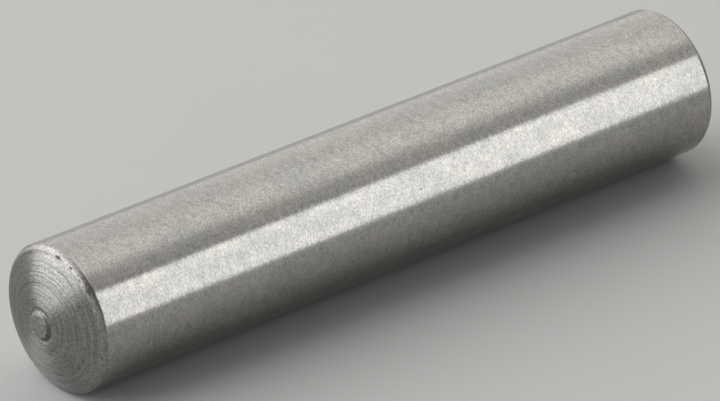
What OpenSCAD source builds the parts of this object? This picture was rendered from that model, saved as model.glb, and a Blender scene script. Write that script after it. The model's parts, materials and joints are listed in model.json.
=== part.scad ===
// Parallel dowel pin with domed ends, turned from stainless steel bar and ground on its shank.
// The axis lies along X, the middle of the shank is the origin, and the parted-off end points to -X.

/* [Shank] */
// Diameter of the ground shank
shank_d = 6; // [4:0.5:10]
// Length of the bar between the rounds of its two rims, without the domed ends
shank_l = 30; // [8:1:100]
// Depth that grinding takes off the turned bar, which leaves an edge where the shank meets each rim
grind_depth = 0.025; // [0.005:0.005:0.1]

/* [Domed ends] */
// Height of the domed end that stands on each end of the bar
dome_h = 1.05; // [0.6:0.05:2]
// Radius of the rounded rim that leads from the dome into the side of the turned bar
rim_r = 0.4; // [0.1:0.05:0.8]

/* [Parting nib] */
// Diameter at the foot of the nib left in the middle of the parted-off end
nib_d = 1.2; // [0.8:0.1:2]
// Height of the nib above the crown of the dome
nib_h = 0.08; // [0.02:0.01:0.3]
// Radius of the round-bottomed groove at the foot of the nib
nib_groove_r = 0.2; // [0.15:0.05:0.6]
// Depth of that groove below the dome
nib_groove_depth = 0.05; // [0.02:0.01:0.1]

/* [Hidden] */
$fn = 180;

// Radius of the shank
shank_r = shank_d / 2;
// Radius of the bar as turned, before its shank is ground
turned_r = shank_r + grind_depth;
// Length of the grinding wheel's pass, well clear of both ends
wheel_l = shank_l + 4 * (dome_h + nib_h);
// Distance from the axis to the centre of the rim's round
rim_centre_r = turned_r - rim_r;
// Radius of the dome that has this height and runs into the rim without an edge
dome_r = (pow(dome_h, 2) - pow(rim_r, 2) + pow(rim_centre_r, 2)) / (2 * (dome_h - rim_r));
// Depth of the dome's centre inside the shank
dome_sunk = dome_r - dome_h;
// Length of the sides of the wedges that part a round section into its sectors
wedge_l = shank_d;

// Radius at the foot of the nib
nib_r = nib_d / 2;
// Height of the dome at the foot of the nib
nib_foot_h = sqrt(pow(dome_r, 2) - pow(nib_r, 2)) - dome_sunk;
// Height of the nib above its own foot
nib_rise = dome_h + nib_h - nib_foot_h;
// Radius of the nib's rounded top, through its foot and its crown
nib_top_r = (pow(nib_r, 2) + pow(nib_rise, 2)) / (2 * nib_rise);
// Angle off the axis of the dome's normal at the foot of the nib
nib_foot_angle = asin(nib_r / dome_r);
// Distance from the centre of the dome to the centre of the groove's round
nib_groove_reach = dome_r + nib_groove_r - nib_groove_depth;

// Half section of a domed end on the end of the bar: a sector of the dome beside a sector of the rim.
// The two part on the line from the dome's centre through the rim's, where both have the same tangent.
module domed_end_section() {
    rim_centre = [rim_centre_r, 0];
    past_rim = rim_centre + [rim_centre_r, dome_sunk];
    intersection() {
        translate([0, -dome_sunk]) circle(r = dome_r);
        polygon([[0, 0], rim_centre, past_rim, [0, wedge_l]]);
    }
    intersection() {
        translate(rim_centre) circle(r = rim_r);
        polygon([rim_centre, rim_centre + [wedge_l, 0], past_rim]);
    }
}

// Half section of the nib, rounded over and sunk into the dome down to the end of the bar
module nib_section() {
    intersection() {
        translate([0, dome_h + nib_h - nib_top_r]) circle(r = nib_top_r);
        square(wedge_l);
    }
}

// Section of the groove that the parting tool leaves at the foot of the nib
module nib_groove_section() {
    translate([0, -dome_sunk])
        translate(nib_groove_reach * [sin(nib_foot_angle), cos(nib_foot_angle)])
            circle(r = nib_groove_r);
}

// Half section of the parted-off end
module parted_end_section() {
    difference() {
        union() {
            domed_end_section();
            nib_section();
        }
        nib_groove_section();
    }
}

// Half section of the bar as it leaves the lathe, with both of its ends
module turned_section() {
    translate([0, -shank_l / 2]) square([turned_r, shank_l]);
    translate([0, shank_l / 2]) domed_end_section();
    mirror([0, 1]) translate([0, shank_l / 2]) parted_end_section();
}

// The whole pin: one turned piece, of which the grinding wheel leaves what lies within the shank's radius
module dowel_pin() {
    color("#B9B7B2")
        rotate([0, 90, 0])
            rotate_extrude()
                intersection() {
                    turned_section();
                    translate([0, -wheel_l / 2]) square([shank_r, wheel_l]);
                }
}

dowel_pin();
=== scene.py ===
import json
import math
import random

import bpy
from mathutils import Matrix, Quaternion, Vector, noise


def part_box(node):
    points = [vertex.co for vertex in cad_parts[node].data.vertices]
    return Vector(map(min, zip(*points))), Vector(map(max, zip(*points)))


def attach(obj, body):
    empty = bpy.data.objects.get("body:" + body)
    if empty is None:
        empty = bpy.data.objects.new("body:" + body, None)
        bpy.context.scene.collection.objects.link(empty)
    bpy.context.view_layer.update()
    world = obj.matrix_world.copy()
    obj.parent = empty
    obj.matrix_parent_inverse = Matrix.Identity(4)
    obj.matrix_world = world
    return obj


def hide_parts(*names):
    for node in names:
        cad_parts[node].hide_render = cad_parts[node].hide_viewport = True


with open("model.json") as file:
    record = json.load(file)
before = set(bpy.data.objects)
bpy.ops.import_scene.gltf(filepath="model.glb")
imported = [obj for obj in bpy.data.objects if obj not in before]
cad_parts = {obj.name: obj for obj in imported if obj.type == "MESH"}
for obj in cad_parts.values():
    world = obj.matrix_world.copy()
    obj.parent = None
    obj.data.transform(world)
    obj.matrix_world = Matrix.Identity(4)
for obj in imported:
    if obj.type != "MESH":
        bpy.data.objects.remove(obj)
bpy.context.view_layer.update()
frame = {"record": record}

# Dowel pin: one bar of stainless steel, turned and parted off in a lathe, its shank then ground to size.
# Each end is a shallow dome that runs into a rounded rim with no edge between them. The parting tool left
# a low nib on the axis of one end, with a shallow round-bottomed groove about its foot.
MM = 0.001

# The record and the solid's box give the main sizes. The others repeat the solid's, with a softer nib.
shank = next(mount for mount in frame["record"]["mounts"] if mount["name"] == "shank")
low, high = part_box("dowel_pin")
shank_r = shank["dims"]["r_mm"] * MM
half_l = shank["dims"]["length_mm"] * MM / 2
dome_h = high.x - half_l
nib_h = -low.x - half_l - dome_h
rim_r = 0.4 * MM
grind_depth = 0.025 * MM
nib_r = 0.62 * MM
groove_half_w = 0.17 * MM
groove_depth = 0.042 * MM

# The dome's sphere touches the rim's round from inside, so the two share one tangent where they meet.
# Grinding cuts the rim's round short, which leaves an edge where the shank begins.
rim_centre_r = shank_r + grind_depth - rim_r
edge_slope = math.asin((shank_r - rim_centre_r) / rim_r)
edge_h = rim_r * math.cos(edge_slope)
dome_r = (dome_h**2 - rim_r**2 + rim_centre_r**2) / (2 * (dome_h - rim_r))
dome_sunk = dome_r - dome_h
rim_start = math.asin(rim_centre_r / (dome_r - rim_r))
dome_edge_r = dome_r * math.sin(rim_start)

# The nib has a flat crown that slopes off to its foot, in the middle of the groove.
nib_crown_r = 0.46 * MM
turned_from_r = nib_r + groove_half_w

# Steps round the axis, and rings on each stretch of the section. The far end has a small plain crown in
# place of the nib, and more rings close to both edges of the shank keep its shading straight up to them.
SEGMENTS = 360
NIB_RINGS = 34
PLAIN_RINGS = 4
PLAIN_CROWN_R = 0.12 * MM
DOME_RINGS = 96
RIM_RINGS = 16
SHANK_RINGS = 4
EDGE_STEPS = (0.03 * MM, 0.06 * MM, 0.12 * MM, 0.3 * MM)

# Grooves of the lathe tool on a faced end, in mm: the least and most of their half width, depth and spacing.
FEED_START = 0.2 * MM
FEED_HALF_W = (0.04, 0.06)
FEED_DEPTH = (0.003, 0.008)
FEED_STEP = (0.2, 0.38)
turning = random.Random(11)


def feed_marks(first_r, last_r):
    """Grooves that the lathe tool leaves on a faced end: the radius, half width and depth of each."""
    marks = []
    at_r = first_r
    while at_r < last_r:
        half_w = turning.uniform(*FEED_HALF_W) * MM
        depth = turning.uniform(*FEED_DEPTH) * MM
        marks.append((at_r, half_w, depth))
        at_r += turning.uniform(*FEED_STEP) * MM
    return marks


def bell(off):
    """A smooth fall from 1 in the middle to 0 at a distance of 1."""
    return 0.5 * (1 + math.cos(math.pi * off))


# Uneven work of the tool: the length and height of its waves, how far its grooves wander off their circle,
# and how much of a groove is left as it fades. The turns say how often each of these changes on its way
# round, and the shifts keep them from changing together. Most of the way to the first groove stays clear.
WAVES = ((0.34 * MM, 0.006 * MM), (0.15 * MM, 0.003 * MM))
WAVE_TURNS = 0.9
WAVE_SHIFT = 5.1
WANDER = 0.05 * MM
WANDER_TURNS = 1.1
WANDER_SHIFT = 9.3
FADE_MEAN = 0.65
FADE_SWING = 1.3
FADE_TURNS = 1.6
FADE_SHIFT = 11.43
CLEAR_SHARE = 0.8


def mark_depth(marks, radius, angle):
    """How deep a place on an end lies in the tool's grooves, which come and go, and in its waves."""
    round_x, round_y = math.cos(angle), math.sin(angle)
    groove, wave = 0.0, 0.0
    if not marks or radius < CLEAR_SHARE * marks[0][0]:
        return groove, wave
    radius += WANDER * noise.noise(Vector((round_x * WANDER_TURNS, round_y * WANDER_TURNS, WANDER_SHIFT)))
    for index, (at_r, half_w, depth) in enumerate(marks):
        off = abs(radius - at_r) / half_w
        if off < 1:
            at = Vector((round_x * FADE_TURNS, round_y * FADE_TURNS, index * FADE_SHIFT))
            left = min(max(FADE_MEAN + FADE_SWING * noise.noise(at), 0.0), 1.0)
            groove += depth * left * bell(off)
    for length, height in WAVES:
        at = Vector((radius / length, round_x * WAVE_TURNS + WAVE_SHIFT, round_y * WAVE_TURNS))
        wave += height * noise.noise(at)
    return groove, wave


# The torn top of the nib: the size and depth of its hollows, and a level that sets how much they take up.
TEAR = 0.13 * MM
TEAR_DEPTH = 0.014 * MM
TEAR_LEVEL = 0.4


def tear_depth(radius, angle):
    """How deep the torn top of the nib lies at a place: most at its middle, none at the groove's edge."""
    near = max(0.0, 1 - (radius / turned_from_r) ** 2)
    at = Vector((radius * math.cos(angle), radius * math.sin(angle), 0)) / TEAR
    return TEAR_DEPTH * near * max(0.0, TEAR_LEVEL + noise.noise(at))


def crown_height(radius):
    """Height of the parted-off end near its axis: the nib on the dome, less the groove."""
    height = math.sqrt(dome_r**2 - radius**2) - dome_sunk
    fall = min(max((radius - nib_crown_r) / (nib_r - nib_crown_r), 0.0), 1.0)
    height += nib_h * bell(fall)
    off = min(abs(radius - nib_r) / groove_half_w, 1.0)
    return height - groove_depth * bell(off)


def end_section(has_nib):
    """Points of one end's half section, from the axis out: height over the bar's end, radius and slope."""
    section = []
    crown_r = turned_from_r if has_nib else PLAIN_CROWN_R
    crown_rings = NIB_RINGS if has_nib else PLAIN_RINGS
    for step in range(1, crown_rings):
        radius = crown_r * step / crown_rings
        height = crown_height(radius) if has_nib else math.sqrt(dome_r**2 - radius**2) - dome_sunk
        section.append((height, radius, math.asin(radius / dome_r)))
    crown_angle = math.asin(crown_r / dome_r)
    for step in range(DOME_RINGS):
        angle = crown_angle + (rim_start - crown_angle) * step / DOME_RINGS
        section.append((dome_r * math.cos(angle) - dome_sunk, dome_r * math.sin(angle), angle))
    for step in range(RIM_RINGS + 1):
        angle = rim_start + (edge_slope - rim_start) * step / RIM_RINGS
        section.append((rim_r * math.cos(angle), rim_centre_r + rim_r * math.sin(angle), angle))
    return section


# Small dents in the parted-off end, from other pins in the tumbling barrel: degrees round the axis from the
# front, degrees of slope on the end, and in mm the length round the axis, the width and the depth. The fourth
# is a chip in the rim. The shoaling says how soon a dent runs out, and it ends at twice its length and width.
DENTS = [
    (math.radians(turn), math.radians(slope), length * MM, width * MM, depth * MM)
    for turn, slope, length, width, depth in (
        (84, 29, 0.17, 0.06, 0.035),
        (68.5, 35, 0.08, 0.05, 0.026),
        (55, 31, 0.06, 0.04, 0.018),
        (45, 46, 0.22, 0.13, 0.014),
        (37.5, 22.6, 0.08, 0.05, 0.014),
        (35, 21.2, 0.05, 0.05, 0.010))]
DENT_SHOALING = 1.5
DENT_END = 2


def way_out(slope):
    """Length of the way from the axis, over the dome and round the rim, to a given slope of the end."""
    return dome_r * min(slope, rim_start) + rim_r * max(slope - rim_start, 0.0)


def dent_depth(radius, angle, slope):
    """How deep the dents lie at a place on the parted-off end."""
    total = 0.0
    for at_angle, at_slope, length, width, depth in DENTS:
        round_off = (angle - at_angle) * radius / length
        out_off = (way_out(slope) - way_out(at_slope)) / width
        reach = round_off**2 + out_off**2
        if reach < DENT_END**2:
            total += depth * math.exp(-DENT_SHOALING * reach)
    return total


# Painted shade that darkens hollows: how deep a dent or a groove of the tool is where the painted shade is
# full, and a painted shaded line on one side of the nib, with its radius, half width, strength and way round.
DENT_SHADE_DEPTH = 0.016 * MM
GROOVE_SHADE_DEPTH = 0.048 * MM
NIB_SHADE_R = 0.55 * MM
NIB_SHADE_W = 0.1 * MM
NIB_SHADE = 0.5
NIB_SHADE_ANGLE = math.radians(-20)
verts = []
painted_shade_share = []
ring_starts = []
ring_slopes = []
ring_radii = []


def add_ring(x_sign, height, radius, slope, marks, parted_off):
    """One ring of the turned surface, sunk along its normal by marks and dents, with the painted shade of its
    hollows.
    """
    ring_starts.append(len(verts))
    ring_slopes.append(slope)
    ring_radii.append(radius)
    for step in range(SEGMENTS):
        angle = 2 * math.pi * step / SEGMENTS
        groove, wave = mark_depth(marks, radius, angle)
        # Painted shade: a groove of the tool is painted darker the deeper it is.
        painted_dark = groove / GROOVE_SHADE_DEPTH
        sunk = groove + wave
        if parted_off:
            dent = dent_depth(radius, angle, slope)
            # Painted shade on one side of the nib, and in the dents, darker the deeper they are.
            nib_painted_shade = max(0.0, 1 - ((radius - NIB_SHADE_R) / NIB_SHADE_W) ** 2)
            nib_painted_shade *= NIB_SHADE * max(0.0, math.cos(angle - NIB_SHADE_ANGLE))
            painted_dark = max(painted_dark + dent / DENT_SHADE_DEPTH, nib_painted_shade)
            sunk += dent
            if radius < turned_from_r:
                sunk += tear_depth(radius, angle)
        painted_shade_share.append(min(painted_dark, 1.0))
        out = radius - sunk * math.sin(slope)
        along = half_l + height - sunk * math.cos(slope)
        verts.append((x_sign * along, -out * math.cos(angle), out * math.sin(angle)))


# Grooves of the tool on the parted-off end: the radius, half width and depth of each, in mm.
near_marks = [(at_r * MM, half_w * MM, depth * MM) for at_r, half_w, depth in (
    (0.84, 0.06, 0.004), (1.03, 0.05, 0.005), (1.32, 0.05, 0.005), (1.53, 0.04, 0.006),
    (1.65, 0.055, 0.010), (1.87, 0.045, 0.006), (2.03, 0.055, 0.009), (2.25, 0.04, 0.004),
    (2.40, 0.055, 0.010), (2.71, 0.05, 0.004))]
far_marks = feed_marks(FEED_START, dome_edge_r)

# Rings from the tip of the parted-off end, along the shank, to the tip of the far end.
verts.append((-half_l - dome_h - nib_h, 0, 0))
painted_shade_share.append(0.0)
for height, radius, slope in end_section(True):
    add_ring(-1, height, radius, slope, near_marks, True)
ground_l = 2 * (half_l + edge_h)
by_edge = [step / ground_l for step in EDGE_STEPS]
shank_steps = by_edge + [step / SHANK_RINGS for step in range(1, SHANK_RINGS)]
shank_steps += [1 - share for share in reversed(by_edge)]
for step in shank_steps:
    add_ring(-1, edge_h - ground_l * step, shank_r, math.pi / 2, [], False)
for height, radius, slope in reversed(end_section(False)):
    add_ring(1, height, radius, slope, far_marks, False)
verts.append((half_l + dome_h, 0, 0))
painted_shade_share.append(0.0)

# Faces between the rings, each with its finish. A ring is ground where its radius is the shank's.
GROUND, TURNED, TUMBLED, TORN = range(4)
TINY = 0.0001 * MM
faces = []
finishes = []
for step in range(SEGMENTS):
    after = (step + 1) % SEGMENTS
    faces.append((0, ring_starts[0] + step, ring_starts[0] + after))
    finishes.append(TORN)
for index in range(len(ring_starts) - 1):
    here, there = ring_starts[index], ring_starts[index + 1]
    slope = (ring_slopes[index] + ring_slopes[index + 1]) / 2
    finish = TURNED if slope < rim_start else TUMBLED
    if index < NIB_RINGS - 1:
        finish = TORN
    if min(ring_radii[index], ring_radii[index + 1]) > shank_r - TINY:
        finish = GROUND
    for step in range(SEGMENTS):
        after = (step + 1) % SEGMENTS
        faces.append((here + step, there + step, there + after, here + after))
        finishes.append(finish)
for step in range(SEGMENTS):
    after = (step + 1) % SEGMENTS
    faces.append((len(verts) - 1, ring_starts[-1] + after, ring_starts[-1] + step))
    finishes.append(TURNED)

pin_mesh = bpy.data.meshes.new("dowel_pin_turned")
pin_mesh.from_pydata(verts, [], faces)
pin_mesh.polygons.foreach_set("use_smooth", [True] * len(faces))
pin_mesh.polygons.foreach_set("material_index", finishes)
# The painted shade of the grooves, the dents and one side of the nib goes to the shaders as an attribute.
pin_mesh.attributes.new("painted_hollow_shade", "FLOAT", "POINT").data.foreach_set("value", painted_shade_share)
pin_mesh.update(calc_edges=True)

# The shading breaks at the crisp edge that grinding leaves at each end of the shank.
crisp_starts = [start for start, slope in zip(ring_starts, ring_slopes) if math.isclose(slope, edge_slope)]
for edge in pin_mesh.edges:
    ends = sorted(edge.vertices)
    edge.use_edge_sharp = any(start <= ends[0] and ends[1] < start + SEGMENTS for start in crisp_starts)
pin = bpy.data.objects.new("dowel_pin_turned", pin_mesh)
bpy.context.scene.collection.objects.link(pin)


def linear(code):
    """An sRGB hex colour as the linear colour that a shader takes."""
    parts = [int(code[at:at + 2], 16) / 255 for at in (1, 3, 5)]
    return [part / 12.92 if part <= 0.04045 else ((part + 0.055) / 1.055) ** 2.4 for part in parts] + [1.0]


def add_node(tree, kind, sockets=None, **settings):
    """A node with its settings, and its sockets by name or place: a value, or another node's output."""
    node = tree.nodes.new(kind)
    for name, value in settings.items():
        setattr(node, name, value)
    for name, value in (sockets or {}).items():
        if isinstance(value, bpy.types.NodeSocket):
            tree.links.new(value, node.inputs[name])
        else:
            node.inputs[name].default_value = value
    return node


# Ground stainless steel, the shank: a satin grey. The wheel leaves short fine streaks round the pin, so a
# reflected lamp stays sharp across the pin and is drawn out along it, with a ragged edge. Tumbling and
# handling add faint warm and cool blotches and a few small pits. The real streaks and specks are about
# 0.02 mm wide, too fine to show, so they are drawn coarser.
ground = bpy.data.materials.new("ground_stainless_steel")
ground.use_nodes = True
tree = ground.node_tree
metal = tree.nodes["Principled BSDF"]
place = add_node(tree, "ShaderNodeTexCoord").outputs["Object"]
# The range that noise hardly leaves, and the places of the two colours and of the result on a Mix node.
NOISE_LOW, NOISE_HIGH = 0.3, 0.7
MIX_A, MIX_B, MIX_OUT = 6, 7, 2
STREAK_W = 0.12 * MM
STREAK_L = 0.45 * MM
STREAK_DEPTH = 0.0018 * MM
streak_at = add_node(tree, "ShaderNodeMapping", {
    "Vector": place, "Scale": (1 / STREAK_W, 1 / STREAK_L, 1 / STREAK_L)}).outputs[0]
streaks = add_node(tree, "ShaderNodeTexNoise", {
    "Vector": streak_at, "Scale": 1.0, "Detail": 2.0, "Roughness": 0.55}).outputs[0]
SPECK_W = 0.065 * MM
SPECK_L = 0.1 * MM
speck_at = add_node(tree, "ShaderNodeMapping", {
    "Vector": place, "Scale": (1 / SPECK_W, 1 / SPECK_L, 1 / SPECK_L)}).outputs[0]
specks = add_node(tree, "ShaderNodeTexNoise", {
    "Vector": speck_at, "Scale": 1.0, "Detail": 2.0, "Roughness": 0.6}).outputs[0]
MOTTLE_W = 0.26 * MM
MOTTLE_L = 0.42 * MM
mottle_at = add_node(tree, "ShaderNodeMapping", {
    "Vector": place, "Scale": (1 / MOTTLE_W, 1 / MOTTLE_L, 1 / MOTTLE_L)}).outputs[0]
mottles = add_node(tree, "ShaderNodeTexNoise", {
    "Vector": mottle_at, "Scale": 1.0, "Detail": 2.0, "Roughness": 0.5}).outputs[0]
BLOTCH_ALONG = 2.4 * MM
BLOTCH_ROUND = 1.1 * MM
blotch_at = add_node(tree, "ShaderNodeMapping", {
    "Vector": place, "Scale": (1 / BLOTCH_ALONG, 1 / BLOTCH_ROUND, 1 / BLOTCH_ROUND)}).outputs[0]
blotches = add_node(tree, "ShaderNodeTexNoise", {
    "Vector": blotch_at, "Scale": 1.0, "Detail": 3.0, "Roughness": 0.6}).outputs[0]
tint = add_node(tree, "ShaderNodeMix", {
    "Factor": blotches, MIX_A: linear("#B5B1AB"), MIX_B: linear("#9D9F9D")}, data_type="RGBA")
speck_shade = add_node(tree, "ShaderNodeMapRange", {
    "Value": specks, "From Min": NOISE_LOW, "From Max": NOISE_HIGH,
    "To Min": 0.71, "To Max": 1.21}).outputs[0]
mottle_shade = add_node(tree, "ShaderNodeMapRange", {
    "Value": mottles, "From Min": NOISE_LOW, "From Max": NOISE_HIGH,
    "To Min": 0.9, "To Max": 1.1}).outputs[0]
shade = add_node(tree, "ShaderNodeMath", {0: speck_shade, 1: mottle_shade}, operation="MULTIPLY").outputs[0]
shaded = add_node(tree, "ShaderNodeVectorMath", {
    0: tint.outputs[MIX_OUT], 1: shade}, operation="MULTIPLY").outputs[0]
# Pits: their spacing, the radius of their floor and of their edge, their depth, and the share of places bare
# of them.
PIT_SPACING = 0.78 * MM
PIT_FLOOR_R = 0.012 * MM
PIT_EDGE_R = 0.042 * MM
PIT_DEPTH = 0.006 * MM
BARE_SHARE = 0.45
pit_cells = add_node(tree, "ShaderNodeTexVoronoi", {"Vector": place, "Scale": 1 / PIT_SPACING})
pit_pick = add_node(tree, "ShaderNodeSeparateColor", {0: pit_cells.outputs["Color"]}).outputs[0]
pit_near = add_node(tree, "ShaderNodeMapRange", {
    "Value": pit_cells.outputs["Distance"], "From Min": PIT_FLOOR_R / PIT_SPACING,
    "From Max": PIT_EDGE_R / PIT_SPACING, "To Min": 1.0, "To Max": 0.0}).outputs[0]
pit_some = add_node(tree, "ShaderNodeMath", {0: pit_pick, 1: BARE_SHARE}, operation="GREATER_THAN").outputs[0]
pits = add_node(tree, "ShaderNodeMath", {0: pit_near, 1: pit_some}, operation="MULTIPLY").outputs[0]
# The pits are sunk by the bump and also painted darker: painted shade in the hollows.
pits_painted_dark = add_node(tree, "ShaderNodeMix", {
    "Factor": pits, MIX_A: shaded, MIX_B: linear("#706D68")}, data_type="RGBA")
tree.links.new(pits_painted_dark.outputs[MIX_OUT], metal.inputs["Base Color"])
pit_hollow = add_node(tree, "ShaderNodeMath", {0: pits, 1: -1.0}, operation="MULTIPLY").outputs[0]
streak_bump = add_node(tree, "ShaderNodeBump", {"Height": streaks, "Distance": STREAK_DEPTH}).outputs[0]
pit_bump = add_node(tree, "ShaderNodeBump", {
    "Height": pit_hollow, "Distance": PIT_DEPTH, "Normal": streak_bump}).outputs[0]
tree.links.new(pit_bump, metal.inputs["Normal"])
roughness = add_node(tree, "ShaderNodeMapRange", {
    "Value": blotches, "From Min": NOISE_LOW, "From Max": NOISE_HIGH,
    "To Min": 0.19, "To Max": 0.22}).outputs[0]
tree.links.new(roughness, metal.inputs["Roughness"])
round_axis = add_node(tree, "ShaderNodeTangent", direction_type="RADIAL", axis="X").outputs[0]
tree.links.new(round_axis, metal.inputs["Tangent"])
metal.inputs["Metallic"].default_value = 1.0
metal.inputs["Anisotropic"].default_value = 0.4
metal.inputs["Anisotropic Rotation"].default_value = 0.25

# Turned stainless steel, the domed ends: duller than the shank. The tool's rings run round the axis, so a
# light draws out into a streak from the middle to the rim. The finest of the tool's lines and the scuffs
# between them are drawn coarser than they are, so that they show.
turned = bpy.data.materials.new("turned_stainless_steel")
turned.use_nodes = True
tree = turned.node_tree
metal = tree.nodes["Principled BSDF"]
place = add_node(tree, "ShaderNodeTexCoord").outputs["Object"]
parts = add_node(tree, "ShaderNodeSeparateXYZ", {0: place})
across = add_node(tree, "ShaderNodeCombineXYZ", {1: parts.outputs[1], 2: parts.outputs[2]}).outputs[0]
from_axis = add_node(tree, "ShaderNodeVectorMath", {0: across}, operation="LENGTH").outputs["Value"]
TOOL_LINE = 0.07 * MM
TOOL_RUN = 1.6 * MM
TOOL_LINE_DEPTH = 0.012 * MM
line_at = add_node(tree, "ShaderNodeMath", {
    0: from_axis, 1: 1 / TOOL_LINE}, operation="MULTIPLY").outputs[0]
run_at = add_node(tree, "ShaderNodeVectorMath", {
    0: across, "Scale": 1 / TOOL_RUN}, operation="SCALE").outputs[0]
run_parts = add_node(tree, "ShaderNodeSeparateXYZ", {0: run_at})
ring_at = add_node(tree, "ShaderNodeCombineXYZ", {
    0: line_at, 1: run_parts.outputs[1], 2: run_parts.outputs[2]}).outputs[0]
rings = add_node(tree, "ShaderNodeTexNoise", {
    "Vector": ring_at, "Scale": 1.0, "Detail": 1.0, "Roughness": 0.5}).outputs[0]
SCUFF = 0.075 * MM
SCUFF_DEPTH = 0.003 * MM
scuffs = add_node(tree, "ShaderNodeTexNoise", {
    "Vector": place, "Scale": 1 / SCUFF, "Detail": 2.0, "Roughness": 0.6}).outputs[0]
scuff_share = add_node(tree, "ShaderNodeMapRange", {
    "Value": scuffs, "From Min": 0.36, "From Max": 0.64}).outputs[0]
tint = add_node(tree, "ShaderNodeMix", {
    "Factor": scuff_share, MIX_A: linear("#777675"), MIX_B: linear("#9B9A98")}, data_type="RGBA")
BAND = 0.13 * MM
band_at = add_node(tree, "ShaderNodeVectorMath", {
    0: ring_at, 1: (TOOL_LINE / BAND, 1.0, 1.0)}, operation="MULTIPLY").outputs[0]
bands = add_node(tree, "ShaderNodeTexNoise", {
    "Vector": band_at, "Scale": 1.0, "Detail": 1.0, "Roughness": 0.5}).outputs[0]
band_shade = add_node(tree, "ShaderNodeMapRange", {
    "Value": bands, "From Min": NOISE_LOW, "From Max": NOISE_HIGH,
    "To Min": 0.84, "To Max": 1.16}).outputs[0]
banded = add_node(tree, "ShaderNodeVectorMath", {
    0: tint.outputs[MIX_OUT], 1: band_shade}, operation="MULTIPLY").outputs[0]
# The dark colour of the painted shade in the grooves, the dents and beside the nib.
PAINTED_SHADE_COLOUR = linear("#4C4A48")
painted_shade_here = add_node(tree, "ShaderNodeAttribute", attribute_name="painted_hollow_shade").outputs["Fac"]
with_painted_shade = add_node(tree, "ShaderNodeMix", {"Factor": painted_shade_here, MIX_A: banded, MIX_B: PAINTED_SHADE_COLOUR}, data_type="RGBA")
tree.links.new(with_painted_shade.outputs[MIX_OUT], metal.inputs["Base Color"])
ring_bump = add_node(tree, "ShaderNodeBump", {"Height": rings, "Distance": TOOL_LINE_DEPTH}).outputs[0]
scuff_bump = add_node(tree, "ShaderNodeBump", {
    "Height": scuffs, "Distance": SCUFF_DEPTH, "Normal": ring_bump}).outputs[0]
tree.links.new(scuff_bump, metal.inputs["Normal"])
round_axis = add_node(tree, "ShaderNodeTangent", direction_type="RADIAL", axis="X").outputs[0]
tree.links.new(round_axis, metal.inputs["Tangent"])
metal.inputs["Metallic"].default_value = 1.0
metal.inputs["Roughness"].default_value = 0.39
metal.inputs["Anisotropic"].default_value = 0.88
metal.inputs["Anisotropic Rotation"].default_value = 0.25

# Tumbled stainless steel, the rounded rims: smoothed in the barrel, a broad soft shine with no lines in it,
# mottled by many small knocks.
tumbled = bpy.data.materials.new("tumbled_stainless_steel")
tumbled.use_nodes = True
tree = tumbled.node_tree
metal = tree.nodes["Principled BSDF"]
place = add_node(tree, "ShaderNodeTexCoord").outputs["Object"]
KNOCK = 0.1 * MM
KNOCK_DEPTH = 0.006 * MM
knocks = add_node(tree, "ShaderNodeTexNoise", {
    "Vector": place, "Scale": 1 / KNOCK, "Detail": 2.0, "Roughness": 0.6}).outputs[0]
knock_share = add_node(tree, "ShaderNodeMapRange", {
    "Value": knocks, "From Min": 0.25, "From Max": 0.75}).outputs[0]
tint = add_node(tree, "ShaderNodeMix", {
    "Factor": knock_share, MIX_A: linear("#696765"), MIX_B: linear("#A6A4A2")}, data_type="RGBA")
# Painted shade darkens the dents and grooves on the rim too.
painted_shade_here = add_node(tree, "ShaderNodeAttribute", attribute_name="painted_hollow_shade").outputs["Fac"]
with_painted_shade = add_node(tree, "ShaderNodeMix", {
    "Factor": painted_shade_here, MIX_A: tint.outputs[MIX_OUT], MIX_B: PAINTED_SHADE_COLOUR}, data_type="RGBA")
tree.links.new(with_painted_shade.outputs[MIX_OUT], metal.inputs["Base Color"])
knock_bump = add_node(tree, "ShaderNodeBump", {"Height": knocks, "Distance": KNOCK_DEPTH}).outputs[0]
tree.links.new(knock_bump, metal.inputs["Normal"])
metal.inputs["Metallic"].default_value = 1.0
metal.inputs["Roughness"].default_value = 0.42

# Torn stainless steel, the nib and its groove: dull and uneven where the bar broke away, with no clear shine.
torn = bpy.data.materials.new("torn_stainless_steel")
torn.use_nodes = True
tree = torn.node_tree
metal = tree.nodes["Principled BSDF"]
place = add_node(tree, "ShaderNodeTexCoord").outputs["Object"]
GRAIN = 0.08 * MM
GRAIN_DEPTH = 0.01 * MM
grains = add_node(tree, "ShaderNodeTexNoise", {
    "Vector": place, "Scale": 1 / GRAIN, "Detail": 2.0, "Roughness": 0.6}).outputs[0]
grain_share = add_node(tree, "ShaderNodeMapRange", {
    "Value": grains, "From Min": NOISE_LOW, "From Max": NOISE_HIGH}).outputs[0]
tint = add_node(tree, "ShaderNodeMix", {
    "Factor": grain_share, MIX_A: linear("#666564"), MIX_B: linear("#949391")}, data_type="RGBA")
# Painted shade darkens one side of the nib here too.
painted_shade_here = add_node(tree, "ShaderNodeAttribute", attribute_name="painted_hollow_shade").outputs["Fac"]
with_painted_shade = add_node(tree, "ShaderNodeMix", {
    "Factor": painted_shade_here, MIX_A: tint.outputs[MIX_OUT], MIX_B: PAINTED_SHADE_COLOUR}, data_type="RGBA")
tree.links.new(with_painted_shade.outputs[MIX_OUT], metal.inputs["Base Color"])
grain_bump = add_node(tree, "ShaderNodeBump", {"Height": grains, "Distance": GRAIN_DEPTH}).outputs[0]
tree.links.new(grain_bump, metal.inputs["Normal"])
metal.inputs["Metallic"].default_value = 1.0
metal.inputs["Roughness"].default_value = 0.6

for finish in (ground, turned, tumbled, torn):
    pin_mesh.materials.append(finish)
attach(pin, "root")
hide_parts("dowel_pin")

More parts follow.
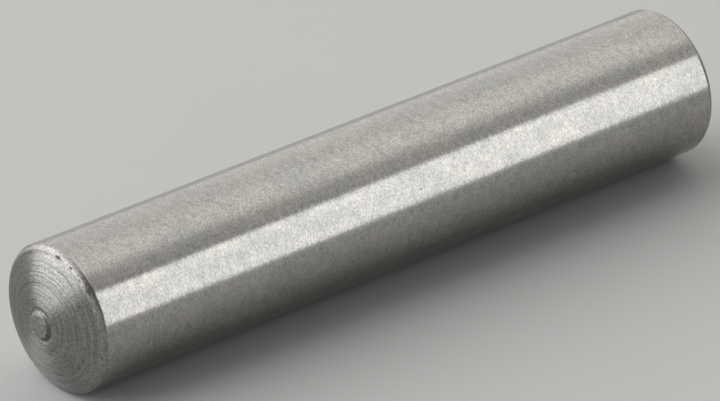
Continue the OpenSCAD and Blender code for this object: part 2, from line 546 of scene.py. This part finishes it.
# Floor: a sheet of pale grey paper that the pin lies on, wide enough to fill every view. The paper is matt,
# with hardly any gloss of its own.
FLOOR_SPAN = 4.0
floor_mesh = bpy.data.meshes.new("paper_floor")
half = FLOOR_SPAN / 2
floor_z = low.z
floor_mesh.from_pydata(
    [(-half, -half, floor_z), (half, -half, floor_z), (half, half, floor_z), (-half, half, floor_z)],
    [], [(0, 1, 2, 3)])
floor = bpy.data.objects.new("paper_floor", floor_mesh)
bpy.context.scene.collection.objects.link(floor)
paper = bpy.data.materials.new("matt_pale_grey_paper")
paper.use_nodes = True
sheet = paper.node_tree.nodes["Principled BSDF"]
sheet.inputs["Base Color"].default_value = linear("#B7B7B6")
sheet.inputs["Roughness"].default_value = 0.9
sheet.inputs["Specular IOR Level"].default_value = 0.2
floor_mesh.materials.append(paper)

# Studio light: a tall strip of a softbox that stands on the table at the front right, a large one at the left
# with smaller ones behind and above it, a dim one at the front left, and a dim room about them.
world = bpy.data.worlds.new("dim_room")
bpy.context.scene.world = world
world.use_nodes = True
room = world.node_tree.nodes["Background"]
room.inputs["Color"].default_value = linear("#FFFDFA")
toward = add_node(world.node_tree, "ShaderNodeTexCoord").outputs["Generated"]

# The room's pale walls: the way to the middle of each glow, the cosines of the angles off it at which the
# glow starts and is full, and its strength.
ROOM_LEVEL = 0.02
GLOWS = (
    ((0.563, 0.531, 0.633), 0.42, 0.56, 0.61),
    ((0.563, 0.531, 0.633), 0.62, 0.83, 0.42),
    ((0.563, 0.144, 0.814), 0.93, 1.0, 0.16),
    ((0.563, -0.531, 0.633), 0.975, 1.0, 0.2),
)
glow = ROOM_LEVEL
for middle, fades_from, full_at, strength in GLOWS:
    facing = add_node(world.node_tree, "ShaderNodeVectorMath", {
        0: toward, 1: middle}, operation="DOT_PRODUCT").outputs["Value"]
    spread = add_node(world.node_tree, "ShaderNodeMapRange", {
        "Value": facing, "From Min": fades_from, "From Max": full_at, "To Max": strength},
        interpolation_type="SMOOTHSTEP").outputs[0]
    glow = add_node(world.node_tree, "ShaderNodeMath", {0: glow, 1: spread}, operation="ADD").outputs[0]
world.node_tree.links.new(glow, room.inputs["Strength"])


def softbox(name, centre, width, height, radiance, lean=0.0):
    """A flat soft lamp that faces the pin, leaning over by some degrees, out of the camera's own sight."""
    lamp = bpy.data.lights.new(name, "AREA")
    lamp.shape = "RECTANGLE"
    lamp.size = width
    lamp.size_y = height
    # A lamp's power is its radiance times pi times its area.
    lamp.energy = radiance * math.pi * width * height
    lamp.color = linear("#FFFFFF")[:3]
    stand = bpy.data.objects.new(name, lamp)
    stand.location = centre
    facing = Vector(centre).to_track_quat("Z", "Y")
    stand.rotation_euler = (facing @ Quaternion((0, 0, 1), math.radians(-lean))).to_euler()
    stand.visible_camera = False
    bpy.context.scene.collection.objects.link(stand)


def around(azimuth, elevation, distance):
    """A place by its angle to the right of the front, its angle above the floor and its distance."""
    side, rise = math.radians(azimuth), math.radians(elevation)
    return (distance * math.cos(rise) * math.sin(side), -distance * math.cos(rise) * math.cos(side),
            distance * math.sin(rise))


softbox("strip_softbox", around(38.3, 18.7, 0.8), 0.25, 0.653, 2.2, lean=15)
softbox("left_softbox", around(-130, 23, 0.68), 0.98, 0.577, 3.6)
softbox("back_left_softbox", around(-176, 36, 0.7), 0.27, 0.65, 0.4)
softbox("top_left_softbox", around(-125, 62, 0.68), 0.6, 0.36, 1.35)
softbox("front_left_fill", around(-48, 19, 0.6), 0.8, 0.4, 0.62)

# Camera: a long lens above and to the left of the pin, turned to look at its parted-off end. The angles are
# in degrees, and the pin's middle lies a few pixels to the right of the picture's and above it.
PHOTO_W = 720
SENSOR_W = 36.0
FOCAL_PX = 7647.0
AZIMUTH = -39.87
ELEVATION = 28.225
DISTANCE = 296.07 * MM
PIN_RIGHT_PX = 8.04
PIN_ABOVE_PX = 3.825
lens = bpy.data.cameras.new("photo_camera")
lens.sensor_width = SENSOR_W
lens.lens = FOCAL_PX * SENSOR_W / PHOTO_W
lens.clip_start = 0.01
lens.clip_end = 10.0
camera = bpy.data.objects.new("photo_camera", lens)
bpy.context.scene.collection.objects.link(camera)
camera.location = around(AZIMUTH, ELEVATION, DISTANCE)
to_camera = Vector(camera.location).normalized()
right = Vector((0, 0, 1)).cross(to_camera).normalized()
above = to_camera.cross(right)
aim = -(right * PIN_RIGHT_PX + above * PIN_ABOVE_PX) * DISTANCE / FOCAL_PX
camera.rotation_euler = (camera.location - aim).to_track_quat("Z", "Y").to_euler()
bpy.context.scene.camera = camera
bpy.context.scene.view_settings.view_transform = "Standard"
